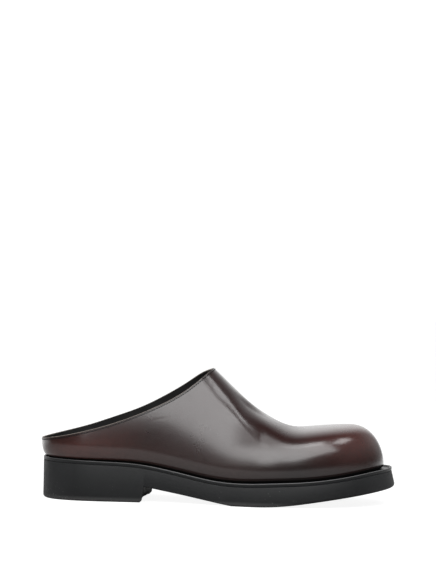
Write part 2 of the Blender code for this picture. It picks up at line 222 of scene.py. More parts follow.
def under_height(x):
    """Height of the underside without its arch: flat, then a short parabola, then straight to the toe."""
    ahead = np.maximum(x - TOE_SPRING_FROM, 0)
    whole = SOLE_LENGTH - TOE_SPRING_FROM
    climbed = np.where(ahead < TOE_SPRING_BEND, ahead**2 / (2 * TOE_SPRING_BEND), ahead - TOE_SPRING_BEND / 2)
    return TOE_SPRING * climbed / (whole - TOE_SPRING_BEND / 2)


def flare(turn):
    """How far the wall leans in by its top edge: it grows as the square of the share of the length."""
    return EDGE_FLARE * np.clip(length_share(turn) / FLARE_WHOLE_AT, 0, 1) ** 2


def section(turn, name):
    """A column of the upper's sections, read at a turn."""
    return read(SECTIONS, name, length_share(turn))


def girth_inset(turn):
    """How far the upper's widest line stands in from the outline: it hangs over at the heel."""
    steps = spline([0, 1, 2], [-COUNTER_OVERHANG, BALL_LEDGE, TOE_LEDGE], section(turn, "ledge"))
    return flare(turn) + steps


def tuck(turn, height):
    """How far the upper draws in: the squares of what is left of the tuck's and of the roll's height."""
    soft = np.clip(1 - height / TUCK_HEIGHT, 0, 1)
    rolled = np.clip(1 - height / FOOT_ROLL_HEIGHT, 0, 1)
    return TUCK * section(turn, "tuck") * soft**2 + FOOT_ROLL * rolled**2


def foot_inset(turn):
    """How far the outside of the upper's foot stands in from the outline."""
    return girth_inset(turn) + tuck(turn, 0)


def welt_inner(turn):
    """Inset of the welt's inner edge, past the foot of the upper."""
    return foot_inset(turn) + UPPER_WALL + WELT_SEAT_MARGIN


def place(turn, inset, height, drop=0.0):
    """Points on the outline moved in by an inset, at a height that is a function of their own x."""
    plan = outline(turn) + inward(turn) * np.asarray(inset)[..., None]
    return np.stack([plan[..., 0] - MIDDLE_X, plan[..., 1], height(plan[..., 0]) - drop], -1)


def smooth_step(low, high, at):
    """0 below low and 1 above high, with a cubic between them."""
    share = np.clip((at - low) / (high - low), 0, 1)
    return share**2 * (3 - 2 * share)


def quads(rows, columns, closed):
    """Faces of a grid of rows, as corner numbers; closed joins its last column to its first."""
    i = np.arange(rows - 1)[:, None]
    j = np.arange(columns if closed else columns - 1)[None, :]
    k = (j + 1) % columns
    corners = (i * columns + j, i * columns + k, (i + 1) * columns + k, (i + 1) * columns + j)
    return np.stack(corners, -1).reshape(-1, 4)


def weld(grids):
    """Joins grids of points and faces into one list of points, in which points that coincide are one,
    and quads that have lost a corner by it are triangles."""
    flat = np.concatenate([points.reshape(-1, 3) for points, faces in grids])
    starts = np.cumsum([0] + [points.size // 3 for points, faces in grids])
    faces = np.concatenate([faces + start for (points, faces), start in zip(grids, starts)])
    keys = np.round(flat / WELD_DISTANCE).astype(np.int64)
    kept, number = np.unique(keys, axis=0, return_index=True, return_inverse=True)[1:]
    number = number.reshape(-1)
    faces = number[faces]
    same = faces == np.roll(faces, -1, axis=1)
    lost = same.sum(axis=1)
    three = faces[lost == 1][~same[lost == 1]].reshape(-1, 3)
    return flat[kept], faces[lost == 0].tolist() + three.tolist(), kept


def new_piece(name, points, faces, material, sharp_from=40, **values):
    """An object at the origin with the given mesh, smooth except at edges over an angle in degrees,
    and with a number at each point under each name given."""
    mesh = bpy.data.meshes.new(name)
    mesh.from_pydata(points, [], faces)
    for label, numbers in values.items():
        mesh.attributes.new(label, "FLOAT", "POINT").data.foreach_set("value", numbers)
    mesh.shade_smooth()
    mesh.set_sharp_from_angle(angle=math.radians(sharp_from))
    mesh.materials.append(material)
    made = bpy.data.objects.new(name, mesh)
    bpy.context.scene.collection.objects.link(made)
    return made


def node(tree, kind, inputs=None, **settings):
    """A shader node with its properties set and its inputs set or linked, by name or by number."""
    made = tree.nodes.new("ShaderNode" + kind)
    for name, value in settings.items():
        setattr(made, name, value)
    for name, value in (inputs or {}).items():
        if isinstance(value, bpy.types.NodeSocket):
            tree.links.new(value, made.inputs[name])
        else:
            made.inputs[name].default_value = value
    return made


def math_node(tree, operation, *values, clamp=False):
    """The result of one sum on sockets or numbers."""
    return node(tree, "Math", dict(enumerate(values)), operation=operation, use_clamp=clamp).outputs[0]


def fade(tree, value, start, end, low=0.0, high=1.0, smooth=False):
    """A number that goes from low to high as a value goes from start to end, straight or smoothly."""
    course = "SMOOTHSTEP" if smooth else "LINEAR"
    made = node(tree, "MapRange", {0: value, 1: start, 2: end, 3: low, 4: high}, interpolation_type=course)
    return made.outputs[0]


def noise(tree, scale, detail, roughness=0.5):
    """Soft noise in the piece's own coordinates, with its scale in waves a metre."""
    here = node(tree, "TexCoord").outputs["Object"]
    inputs = {"Vector": here, "Scale": scale, "Detail": detail, "Roughness": roughness}
    return node(tree, "TexNoise", inputs).outputs[0]


def bump(tree, shader, height, strength, distance):
    """Raises a height on the surface."""
    made = node(tree, "Bump", {"Strength": strength, "Distance": distance, "Height": height})
    tree.links.new(made.outputs[0], shader.inputs["Normal"])


def mix_colour(tree, share, first, second):
    """Two colours mixed by a share. A colour is a socket or three numbers."""
    first, second = ((*tone, 1) if isinstance(tone, tuple) else tone for tone in (first, second))
    return node(tree, "Mix", {0: share, 6: first, 7: second}, data_type="RGBA").outputs[2]


def ramp(tree, value, stops):
    """A colour or grey that follows a value through (place, colour) stops."""
    made = node(tree, "ValToRGB", {0: value})
    cells = made.color_ramp.elements
    while len(cells) < len(stops):
        cells.new(0.5)
    for cell, (at, colour) in zip(cells, stops):
        cell.position = at
        cell.color = (*colour, 1) if isinstance(colour, tuple) else (colour, colour, colour, 1)
    return made.outputs[0]


def new_group(name, inputs, outputs):
    """An empty node group with named float inputs and outputs, and its two end nodes."""
    tree = bpy.data.node_groups.new(name, "ShaderNodeTree")
    for label, value in inputs.items():
        socket = tree.interface.new_socket(label, in_out="INPUT", socket_type="NodeSocketFloat")
        socket.default_value = value
    for label in outputs:
        tree.interface.new_socket(label, in_out="OUTPUT", socket_type="NodeSocketFloat")
    return tree, tree.nodes.new("NodeGroupInput"), tree.nodes.new("NodeGroupOutput")


def place_group(tree, group, **inputs):
    """A group placed in a material, with its inputs set or linked."""
    return node(tree, "Group", inputs, node_tree=group).outputs


def new_material(name):
    """A material with its tree and its shader."""
    material = bpy.data.materials.new(name)
    material.use_nodes = True
    return material, material.node_tree, material.node_tree.nodes["Principled BSDF"]


def fine_grain():
    """Group: small cells and finer noise at a size in metres, as a height about one half."""
    tree, start, end = new_group("fine_grain", {"Size": 0.001, "Cells": 0.5}, ["Height"])
    here = node(tree, "TexCoord").outputs["Object"]
    scale = math_node(tree, "DIVIDE", 1, start.outputs["Size"])
    inputs = {"Vector": here, "Scale": scale, "Randomness": 1.0}
    cells = node(tree, "TexVoronoi", inputs, feature="SMOOTH_F1").outputs[0]
    finer = noise(tree, math_node(tree, "MULTIPLY", scale, 2.3), 2.0)
    height = node(tree, "Mix", {0: start.outputs["Cells"], 2: finer, 3: cells}, data_type="FLOAT")
    tree.links.new(height.outputs[0], end.inputs["Height"])
    return tree


def pale_dust():
    """Group: a mask of small pale specks, thicker in drifts, more of them as Amount grows."""
    tree, start, end = new_group("pale_dust", {"Size": 0.001, "Amount": 0.5}, ["Mask"])
    specks = noise(tree, math_node(tree, "DIVIDE", 1, start.outputs["Size"]), 1.0)
    lifted = math_node(tree, "MULTIPLY_ADD", noise(tree, 45.0, 3.0), 0.35, specks)
    lifted = math_node(tree, "MULTIPLY_ADD", start.outputs["Amount"], 0.3, lifted)
    tree.links.new(fade(tree, lifted, 0.93, 1.08, smooth=True), end.inputs["Mask"])
    return tree


GRAIN = fine_grain()
DUST = pale_dust()

SOLE_BLACK = (0.0062, 0.0068, 0.0074)
SOLE_ROUGHNESS = 0.55
RUBBER_ENDS_PAINTED_LIGHT = (0.024, 0.0245, 0.0255)
RUBBER_AT_GROUND = (0.062, 0.062, 0.062)
RUBBER_LIP_HIGHLIGHT = (0.085, 0.086, 0.088)
DUST_GREY = (0.30, 0.30, 0.29)


def rubber(name, colour, roughness):
    """Moulded rubber: near-black and faintly clouded, painted lighter at the heel's back and at the toe as
    painted light on its ends, greyer along the ground, pale where a highlight is painted along the welt's
    lip, with specks of dust low down and at the heel."""
    material, tree, shader = new_material(name)
    x, y, z = node(tree, "SeparateXYZ", {0: node(tree, "TexCoord").outputs["Object"]}).outputs
    clouds = noise(tree, 320.0, 4.0)
    tone = ramp(tree, clouds, [(0.35, tuple(0.82 * part for part in colour)), (0.65, colour)])
    # Painted light: the ends of the sole, at the heel's back and at the toe, are painted lighter.
    ends_painted_light = fade(tree, math_node(tree, "ABSOLUTE", x), 0.118, 0.150)
    tone = mix_colour(tree, ends_painted_light, tone, RUBBER_ENDS_PAINTED_LIGHT)
    at_ground = fade(tree, z, 0.0015, 0.0045, 0.7, 0.0)
    tone = mix_colour(tree, at_ground, tone, RUBBER_AT_GROUND)
    # Painted highlight along the welt's lip, read from the welt's points.
    worn = node(tree, "Attribute", attribute_name="worn").outputs["Fac"]
    tone = mix_colour(tree, worn, tone, RUBBER_LIP_HIGHLIGHT)
    low = fade(tree, z, 0.0, 0.016, 1.0, 0.0)
    at_heel = fade(tree, x, -0.148, -0.105, 0.75, 0.15)
    dust = place_group(tree, DUST, Size=0.0011, Amount=math_node(tree, "MULTIPLY", low, at_heel))["Mask"]
    tone = mix_colour(tree, math_node(tree, "MULTIPLY", dust, 0.30), tone, DUST_GREY)
    tree.links.new(tone, shader.inputs["Base Color"])
    matness = fade(tree, clouds, 0.3, 0.7, roughness - 0.04, roughness + 0.06)
    tree.links.new(matness, shader.inputs["Roughness"])
    bump(tree, shader, place_group(tree, GRAIN, Size=0.0006, Cells=0.3)["Height"], 0.25, 0.0002)
    shader.inputs["Specular IOR Level"].default_value = 0.3
    return material


# Fine wavy tread: grooves across the heel and across the forefoot, which stop short of the rim. The
# rows of x give where the waves of the tread and the slant of the breast fade in and out.
TREAD_PITCH = 0.0070
TREAD_DEPTH = 0.0009
TREAD_HALF_WIDTH = 0.0012
TREAD_FLOOR_HALF_WIDTH = 0.0006
TREAD_WAVE = 0.0022
TREAD_WAVE_LENGTH = 0.020
TREAD_RIM = 0.0065
HEEL_TREAD = (0.0145, 0.0805)
BALL_TREAD = (0.1740, 0.2860)
SOLE_STATIONS = 200
ACROSS_STEPS = 60
WAVES_AT_HEEL = (0.008, 0.014, 0.081, 0.089)
WAVES_AT_BALL = (0.166, 0.172)
TREAD_FADE = 0.002
SLANTED = (0.070, 0.086, 0.093, 0.125)
STATION_ROOM = 0.0004
BREAST_STEPS = 5
ARCH_EDGE_RADIUS = 0.0010
JOINT_ROUNDING = 0.00035
JOINT_HALFWAY = 0.3

heel_grooves = np.arange(*HEEL_TREAD, TREAD_PITCH)
ball_grooves = np.arange(*BALL_TREAD, TREAD_PITCH)
grooves = np.concatenate([heel_grooves, ball_grooves])[:, None]
groove_edges = [-TREAD_HALF_WIDTH, -TREAD_FLOOR_HALF_WIDTH, TREAD_FLOOR_HALF_WIDTH, TREAD_HALF_WIDTH]
groove_x = grooves + np.array(groove_edges)
groove_shape = np.tile([0.0, 1.0, 1.0, 0.0], len(grooves))

arch_x = np.array([0, HEEL_BREAST_AT - BREAST_CHAMFER, HEEL_BREAST_AT, HEEL_BREAST_AT + BREAST_LEAN,
                   ARCH_END_AT, SOLE_LENGTH])
arch_lift = np.array([0, 0, BREAST_CHAMFER, HEEL_LIFT, 0, 0])
breast_x = np.linspace(HEEL_BREAST_AT, HEEL_BREAST_AT + BREAST_LEAN, BREAST_STEPS)
marks = np.unique(np.concatenate([groove_x.ravel(), arch_x, breast_x]))
even = SOLE_LENGTH * length_share(np.linspace(0, 1, SOLE_STATIONS))
clear = np.abs(even[:, None] - marks[None, :]).min(axis=1) > STATION_ROOM
sole_x = np.unique(np.concatenate([even[clear], marks]))
sole_turns = fold(sole_x / SOLE_LENGTH)
lift = np.interp(sole_x, arch_x, arch_lift)
groove = np.interp(sole_x, groove_x.ravel(), groove_shape, left=0, right=0)
on_ground = smooth_step(BREAST_CHAMFER, 0, lift)
edge_radius = ARCH_EDGE_RADIUS + (GROUND_EDGE_RADIUS - ARCH_EDGE_RADIUS) * on_ground


def slanted(side):
    """Turns of the stations of one side, moved along near the breast so that it lies aslant; side is
    -1 for the outer side and 1 for the inner one."""
    turns = sole_turns if side < 0 else 2 - sole_turns
    x = sole_x + BREAST_SLANT * outline(turns)[:, 1] * near_breast
    return fold(x / SOLE_LENGTH) if side < 0 else 2 - fold(x / SOLE_LENGTH)


def sole_side(turns):
    """Wall of the sole at each station, from the ground edge to its rebate: a quarter circle, a
    straight wall that leans in by the flare, and the step in which the welt lies."""

    def ground(x):
        return under_height(x) + lift

    def top(x):
        return edge_height(x) - WELT_THICKNESS - GAP

    lean = flare(turns)
    rebate = welt_inner(turns) + GAP
    x = outline(turns)[:, 0]
    wall_from = under_height(x) + GROUND_EDGE_RADIUS
    rows = []
    for angle in np.linspace(0, math.pi / 2, QUARTER_STEPS):
        up = edge_radius * (1 - math.cos(angle))
        share = np.clip((ground(x) + up - wall_from) / (top(x) - wall_from), 0, 1)
        rows.append(place(turns, edge_radius * (1 - math.sin(angle)) + share * lean, ground, -up))
    rows.append(place(turns, lean, top, JOINT_ROUNDING))
    rows.append(place(turns, lean + JOINT_HALFWAY * JOINT_ROUNDING, top, JOINT_HALFWAY * JOINT_ROUNDING))
    rows.append(place(turns, lean + JOINT_ROUNDING, top))
    rows.append(place(turns, rebate, top))
    rows.append(place(turns, rebate, edge_height, WELT_LIP))
    return np.stack(rows, axis=1)


def within_zone(x, zone):
    """1 inside a zone, given by the four places where it fades in and out."""
    return smooth_step(zone[0], zone[1], x) * smooth_step(zone[3], zone[2], x)


near_breast = within_zone(sole_x, SLANTED)
outer_side = sole_side(slanted(-1))
inner_side = sole_side(slanted(1))
across = np.linspace(0, 1, ACROSS_STEPS + 1)[None, 1:-1, None]
under = outer_side[:, :1] * (1 - across) + inner_side[:, :1] * across
width = np.linalg.norm(outer_side[:, 0] - inner_side[:, 0], axis=-1)[:, None]
slant = np.abs(inward(sole_turns)[:, 1])[:, None]
to_rim = np.minimum(across, 1 - across)[..., 0] * width * slant
within = smooth_step(TREAD_RIM - TREAD_FADE, TREAD_RIM + TREAD_FADE, to_rim)
treaded = (within_zone(sole_x, WAVES_AT_HEEL) + smooth_step(*WAVES_AT_BALL, sole_x))[:, None]
wave = TREAD_WAVE * np.cos(2 * math.pi * under[..., 1] / TREAD_WAVE_LENGTH) * within * treaded
hollow = BREAST_HOLLOW * np.clip(1 - (under[..., 1] / BREAST_HOLLOW_REACH) ** 2, 0, 1)
under[..., 0] += wave - hollow * near_breast[:, None]
under[..., 2] = under_height(under[..., 0] + MIDDLE_X) + lift[:, None]
under[..., 2] += TREAD_DEPTH * groove[:, None] * within
loops = np.concatenate([outer_side[:, :1], under, inner_side, outer_side[:, :0:-1]], axis=1)
points, faces = weld([(loops, quads(len(sole_x), loops.shape[1], closed=True))])[:2]
outsole = new_piece("outsole_rubber", points, faces, rubber("sole_rubber", SOLE_BLACK, SOLE_ROUGHNESS))
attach(outsole, "root")
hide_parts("outsole")

# WELT
# A strip of the same black rubber, let into the rim of the outsole and cemented there. It has a
# rounded lip that stands round the foot of the upper and catches the light, with a highlight painted along
# it.

WELT_LIP_WIDTH = 0.0022
LIP_ROUNDING = 0.0006
LIP_EDGE_STEPS = 5
WELT_STATIONS = 260
WELT_BLACK = (0.0085, 0.0090, 0.0096)
WELT_ROUGHNESS = 0.38

# The rows over the lip's first rounding that are painted pale as a highlight, fainter behind the first of two
# places.
HIGHLIGHT_ROWS = slice(5, 9)
HIGHLIGHT_AT_HEEL = 0.45
HIGHLIGHT_FADE_X = (-0.065, -0.050)

welt_turns = np.arange(2 * WELT_STATIONS) / WELT_STATIONS
welt_lean = flare(welt_turns)
lip = np.minimum(WELT_LIP_WIDTH, foot_inset(welt_turns) - GAP - welt_lean)
lip_round = np.minimum(LIP_ROUNDING, lip / 3)
welt_rows = [
    place(welt_turns, welt_inner(welt_turns), edge_height, WELT_THICKNESS),
    place(welt_turns, welt_lean + JOINT_ROUNDING, edge_height, WELT_THICKNESS),
    place(welt_turns, welt_lean + JOINT_HALFWAY * JOINT_ROUNDING, edge_height,
          WELT_THICKNESS - JOINT_HALFWAY * JOINT_ROUNDING),
    place(welt_turns, welt_lean, edge_height, WELT_THICKNESS - JOINT_ROUNDING),
]
for angle in np.linspace(0, math.pi / 2, QUARTER_STEPS):
    out = lip_round * (1 - math.cos(angle))
    welt_rows.append(place(welt_turns, welt_lean + out, edge_height, lip_round * (1 - math.sin(angle))))
for angle in np.linspace(0, math.pi / 2, LIP_EDGE_STEPS):
    out = lip - lip_round * (1 - math.sin(angle))
    welt_rows.append(place(welt_turns, welt_lean + out, edge_height, lip_round * (1 - math.cos(angle))))
welt_rows.append(place(welt_turns, welt_lean + lip, edge_height, WELT_LIP))
welt_rows.append(place(welt_turns, welt_inner(welt_turns), edge_height, WELT_LIP))
welt_rows.append(welt_rows[0])
welt_grid = np.stack(welt_rows)
points, faces, kept = weld([(welt_grid, quads(*welt_grid.shape[:2], closed=True))])
# Painted highlight along the lip: a share at each point of the welt.
lip_highlight_share = np.zeros(welt_grid.shape[:2])
lip_highlight_share[HIGHLIGHT_ROWS] = np.interp(welt_grid[HIGHLIGHT_ROWS, :, 0], HIGHLIGHT_FADE_X, (HIGHLIGHT_AT_HEEL, 1))
welt = new_piece("welt_strip", points, faces, rubber("welt_rubber", WELT_BLACK, WELT_ROUGHNESS),
                 worn=lip_highlight_share.ravel()[kept])
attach(welt, "root")
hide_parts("welt")

# UPPER LEATHER
# One piece of burnished calf, lasted over the toe and the counter, with a low top line that climbs
# to the instep. It is polished, darker in the middle and red-brown at the toe and heel, and its
# edge along the top line is cut raw.

INSTEP_HEIGHT = 0.113
THROAT_AT = 0.1446
COLLAR_HEIGHT = 0.0513
TOE_BOX_HEIGHT = 0.0668
TOE_CROWN_AT = 0.2633
TOE_CROWN_BLEND = 0.022
HEEL_POLE_AT = 0.0355
RIDGE_SWING = 0.005
LEATHER = 0.00135
TOP_EDGE_ROUNDING = 0.0004
UPPER_STATIONS = 150
THROAT_ZONE = 0.014
THROAT_STEPS = 14
VAMP_STEPS = 10
TOP_ROWS = np.array([0.0, 0.0004, 0.0008, 0.0012, 0.00145, 0.0017, 0.00195, 0.0022, 0.0027, 0.0034,
                     0.0044, 0.0058])
BODY_ROWS = 66
ROW_CROWDING = 1.15
ARCH_SAMPLES = 401
STATION_CLEARANCE = 0.4
CREASE_PAST_END = 0.15
CREASE_WHOLE_AT = 0.25
CREASE_LIP = 0.8
RIDGE_CLEARANCE = 0.012
RIM_FROM_TOP = -0.001

Ridge = namedtuple("Ridge", "along climb swing")
RIDGE = [
    Ridge(0.000, 1.560, 0.000),
    Ridge(0.200, 1.520, 0.000),
    Ridge(0.320, 1.450, 0.100),
    Ridge(0.410, 1.290, 0.250),
    Ridge(0.480, 1.000, 0.450),
    Ridge(0.533, 0.676, 0.700),
    Ridge(0.578, 0.418, 0.900),
    Ridge(0.624, 0.190, 1.000),
    Ridge(0.670, 0.017, 1.000),
    Ridge(0.715, -0.064, 1.000),
    Ridge(0.761, -0.052, 0.950),
    Ridge(0.807, -0.024, 0.850),
    Ridge(0.852, -0.002, 0.700),
    Ridge(0.900, 0.004, 0.700),
]

TopLine = namedtuple("TopLine", "to_throat outer inner")
TOP_LINE = [
    TopLine(0.00, 0.000, 0.000),
    TopLine(0.12, 0.050, 0.069),
    TopLine(0.25, 0.119, 0.154),
    TopLine(0.40, 0.217, 0.276),
    TopLine(0.55, 0.343, 0.410),
    TopLine(0.70, 0.500, 0.588),
    TopLine(0.85, 0.706, 0.809),
    TopLine(0.94, 0.876, 0.948),
    TopLine(1.00, 1.000, 1.000),
]

# Troughs of the leather, each along a line as seen from the side: x and z at its two ends, its half
# width, its depth, and the side of the shoe, -1 for the outer and 1 for the inner.
Crease = namedtuple("Crease", "x0 z0 x1 z1 half_width depth side")

# Broad hollows in the leather and its lining, down either side of the vamp behind the toe box.
HOLLOWS = [
    Crease(0.021, 0.093, 0.046, 0.047, 0.0100, 0.0019, -1),
    Crease(0.020, 0.090, 0.044, 0.046, 0.0100, 0.0014, 1),
]

# Folds in the leather alone, where the shoe flexes, and one faint scratch behind the throat.
CREASES = [
    Crease(0.020, 0.070, 0.046, 0.034, 0.0110, 0.00028, -1),
    Crease(0.026, 0.058, 0.037, 0.041, 0.0012, 0.00005, -1),
    Crease(0.030, 0.056, 0.040, 0.039, 0.0010, 0.00007, -1),
    Crease(0.034, 0.053, 0.042, 0.040, 0.0010, 0.00006, -1),
    Crease(0.028, 0.042, 0.039, 0.055, 0.0010, 0.00004, -1),
    Crease(-0.052, 0.0700, -0.036, 0.0712, 0.0007, 0.00006, -1),
    Crease(0.018, 0.066, 0.044, 0.034, 0.0090, 0.00030, 1),
    Crease(0.026, 0.062, 0.040, 0.038, 0.0014, 0.00007, 1),
    Crease(0.032, 0.058, 0.045, 0.038, 0.0012, 0.00006, 1),
    Crease(0.038, 0.054, 0.050, 0.038, 0.0011, 0.00005, 1),
]


def seat_height(x):
    """Height of the ledge that the upper and the insole stand on."""
    return edge_height(x) - WELT_LIP


def foot_height(turn):
    """Height of the upper's foot, just clear of its seat."""
    return place(turn, foot_inset(turn), seat_height, -GAP)[..., 2]


def settle(x, low, high, blend):
    """x held between two limits, with a smooth bend of the given half length at each."""

    def eased(past):
        u = np.clip((past + blend) / (2 * blend), 0, 1)
        return np.where(past < -blend, past, 2 * blend * (u - u**3 + u**4 / 2) - blend)

    return low - eased(low - high - eased(x - high))


def ridge_point(x):
    """Point of the upper's ridge for the stations at x. All round the toe it is one point."""
    at = settle(x, HEEL_POLE_AT, TOE_CROWN_AT, TOE_CROWN_BLEND)
    climb = read(RIDGE, "climb", at / SOLE_LENGTH)
    swing = read(RIDGE, "swing", at / SOLE_LENGTH)
    return at, RIDGE_SWING * swing, TOE_BOX_HEIGHT + (INSTEP_HEIGHT - TOE_BOX_HEIGHT) * climb


def upper_point(turn, rise):
    """Point of the upper's outside. Each station is a cubic Bezier arch from its foot, where it is
    upright, to the ridge, where it is level; the tuck then draws its lowest part in."""
    start = outline(turn)
    base = start + inward(turn) * girth_inset(turn)[..., None]
    ridge_x, ridge_y, ridge_z = ridge_point(start[..., 0])
    reach = np.stack([ridge_x, ridge_y], -1) - base
    left = 1 - rise
    in_share = 3 * left * rise**2 * (1 - section(turn, "crown")) + rise**3
    up_share = 3 * left**2 * rise * section(turn, "upright") + 3 * left * rise**2 + rise**3
    foot = foot_height(turn)
    height = (ridge_z - foot) * up_share
    plan = base + reach * in_share[..., None] + inward(turn) * tuck(turn, height)[..., None]
    return np.stack([plan[..., 0] - MIDDLE_X, plan[..., 1], foot + height], -1)


def top_line_height(turns, lowered):
    """Height at which each station behind the throat is cut off, less what its edge rounds over."""
    to_throat = np.clip(outline(turns)[:, 0] / THROAT_AT, 0, 1)
    climb = np.where(turns < 1, read(TOP_LINE, "outer", to_throat), read(TOP_LINE, "inner", to_throat))
    return COLLAR_HEIGHT - lowered + (INSTEP_HEIGHT - COLLAR_HEIGHT) * climb


def upper_turns(stations, throat_steps, vamp_steps):
    """Turns of the upper's stations, closer together where the top line swings over the instep, and
    the numbers of the two that meet at the throat."""
    behind = THROAT_AT - THROAT_ZONE * np.linspace(0, 1, throat_steps + 1) ** 2
    ahead = THROAT_AT + THROAT_ZONE * np.linspace(0, 1, vamp_steps + 1)[1:]
    near = np.sort(fold(np.concatenate([behind, ahead]) / SOLE_LENGTH))
    side = np.arange(stations + 1) / stations
    room = STATION_CLEARANCE / stations
    side = side[(side < near.min() - room) | (side > near.max() + room)]
    side = np.sort(np.concatenate([side, near]))
    throat = int(np.argmin(np.abs(side - fold(THROAT_AT / SOLE_LENGTH))))
    turns = np.concatenate([side, 2 - side[-2:0:-1]])
    return turns, throat, len(turns) - throat


def upper_grid(turns, throat, lowered, top_rows, body_rows):
    """Points of the upper's outside on rows that keep fixed distances from the top line, and share
    out the rest, read off each station's own arc length; and each point's distance over the leather
    from the foot and from the top line."""
    rise = np.linspace(0, 1, ARCH_SAMPLES)[:, None]
    heights = upper_point(turns[None, :] + 0 * rise, rise + 0 * turns[None, :])[..., 2]
    tops = top_line_height(turns, lowered)
    cut = np.array([np.interp(top, up, rise[:, 0]) for top, up in zip(tops, heights.T)])
    open_here = outline(turns)[:, 0] < THROAT_AT - WELD_DISTANCE
    last = np.where(open_here, cut, 1)
    arch = upper_point(turns[None, :] + 0 * rise, rise * last[None, :])
    steps = np.linalg.norm(np.diff(arch, axis=0), axis=-1)
    arc = np.concatenate([np.zeros((1, len(turns))), np.cumsum(steps, axis=0)])
    body = np.linspace(0, 1, body_rows + 1)[:, None] ** ROW_CROWDING * (arc[-1] - top_rows[-1])[None, :]
    wanted = np.concatenate([body, arc[-1][None, :] - top_rows[-2::-1, None]])
    rises = np.array([np.interp(want, along, rise[:, 0]) for want, along in zip(wanted.T, arc.T)]).T
    ahead = np.maximum(outline(turns)[:, 0] - THROAT_AT, 0)
    return upper_point(turns + 0 * rises, rises * last), wanted, arc[-1] - wanted + ahead


def outward(points, faces):
    """Unit normals of a grid of points: the faces' own, added up at each point and at those that
    coincide with it."""
    flat = points.reshape(-1, 3)
    keys = np.round(flat / WELD_DISTANCE).astype(np.int64)
    group = np.unique(keys, axis=0, return_inverse=True)[1].reshape(-1)
    face = np.cross(flat[faces[:, 2]] - flat[faces[:, 0]], flat[faces[:, 3]] - flat[faces[:, 1]])
    total = np.zeros((group.max() + 1, 3))
    for corner in range(4):
        np.add.at(total, group[faces[:, corner]], face)
    normal = total[group]
    normal /= np.linalg.norm(normal, axis=-1, keepdims=True)
    return normal.reshape(points.shape)


def creased(points, normals, creases):
    """The leather pressed in along its creases: each is a trough with a low ridge at either side, a
    bell curve times one less its own square, and it fades towards its ends."""
    x, y, z = np.moveaxis(points, -1, 0)
    depth = np.zeros_like(x)
    for crease in creases:
        run = np.array([crease.x1 - crease.x0, crease.z1 - crease.z0])
        length = np.linalg.norm(run)
        run /= length
        along = ((x - crease.x0) * run[0] + (z - crease.z0) * run[1]) / length
        off = ((z - crease.z0) * run[0] - (x - crease.x0) * run[1]) / crease.half_width
        ends = (-CREASE_PAST_END, CREASE_WHOLE_AT, 1 - CREASE_WHOLE_AT, 1 + CREASE_PAST_END)
        beside = smooth_step(0.0, RIDGE_CLEARANCE, crease.side * y)
        bell = (1 - CREASE_LIP * off**2) * np.exp(-(off**2))
        depth += crease.depth * within_zone(along, ends) * beside * bell
    return points - normals * depth[..., None]


def shell(outside, inside, throat_columns, edge_rounding, edge_rows=6):
    """Closes two grids into a wall: flat at the foot, and along the top line half an ellipse."""
    rows, columns = outside.shape[:2]
    over_ridge = np.concatenate([np.arange(throat_columns[1], columns), np.arange(0, throat_columns[0])])
    outer_edge, inner_edge = outside[-1, over_ridge], inside[-1, over_ridge]
    run = np.roll(outer_edge, -1, axis=0) - np.roll(outer_edge, 1, axis=0)
    up = np.cross(outer_edge - inner_edge, run)
    up *= -edge_rounding / np.linalg.norm(up, axis=-1, keepdims=True)
    angle = np.linspace(0, math.pi, edge_rows + 1)[:, None, None]
    middle, half = (outer_edge + inner_edge) / 2, (outer_edge - inner_edge) / 2
    rim = middle + half * np.cos(angle) + up * np.sin(angle)
    foot = np.stack([inside[0], outside[0]])
    face = quads(rows, columns, closed=True)
    return [
        (outside, face),
        (inside, face[:, ::-1]),
        (foot, quads(2, columns, closed=True)),
        (rim, quads(edge_rows + 1, len(over_ridge), closed=True)),
    ]


def offset(points, normals, depth):
    """The surface moved inwards by a depth; its foot row stays level."""
    moved = points - normals * depth
    flat = normals[0] * [1, 1, 0]
    moved[0] = points[0] - flat / np.sum(flat**2, axis=-1, keepdims=True) * depth
    return moved


turns, *throat = upper_turns(UPPER_STATIONS, THROAT_STEPS, VAMP_STEPS)
smooth_upper, from_foot, from_top = upper_grid(turns, throat, TOP_EDGE_ROUNDING, TOP_ROWS, BODY_ROWS)
upper_faces = quads(*smooth_upper.shape[:2], closed=True)
smooth_upper = creased(smooth_upper, outward(smooth_upper, upper_faces), HOLLOWS)
upper_normals = outward(smooth_upper, upper_faces)
leather_outside = creased(smooth_upper, upper_normals, CREASES)
leather_inside = offset(smooth_upper, upper_normals, LEATHER)


# The burnish along the shoe, from the heel to the toe, and along its foot the leather's tone painted lighter
# as painted floor light, as (share, colour) stops.
BURNISH = [
    (0.00, (0.056, 0.0165, 0.0120)),
    (0.12, (0.052, 0.0110, 0.0082)),
    (0.22, (0.030, 0.0080, 0.0062)),
    (0.30, (0.013, 0.0042, 0.0038)),
    (0.44, (0.014, 0.0037, 0.0037)),
    (0.62, (0.016, 0.0045, 0.0040)),
    (0.74, (0.020, 0.0045, 0.0040)),
    (0.88, (0.052, 0.0115, 0.0090)),
    (1.00, (0.036, 0.0125, 0.0100)),
]
# Along the foot: the leather's red-brown, painted lighter as painted light reflected from the white floor,
# going near black low at the toe.
LOW_TONE_AND_FLOOR_LIGHT = [
    (0.24, (0.042, 0.0185, 0.0158)),
    (0.42, (0.0255, 0.0150, 0.0136)),
    (0.56, (0.0255, 0.0150, 0.0136)),
    (0.74, (0.004, 0.0034, 0.0032)),
]
MOTTLE = (0.012, 0.007, 0.006)
# Painted shade: a darker band a few millimetres under the top line.
PAINTED_SHADE_UNDER_TOP_LINE = (0.012, 0.0045, 0.0040)
# Painted shade in the grooves beside the stitches.
GROOVE_PAINTED_SHADE = (0.003, 0.0025, 0.0025)
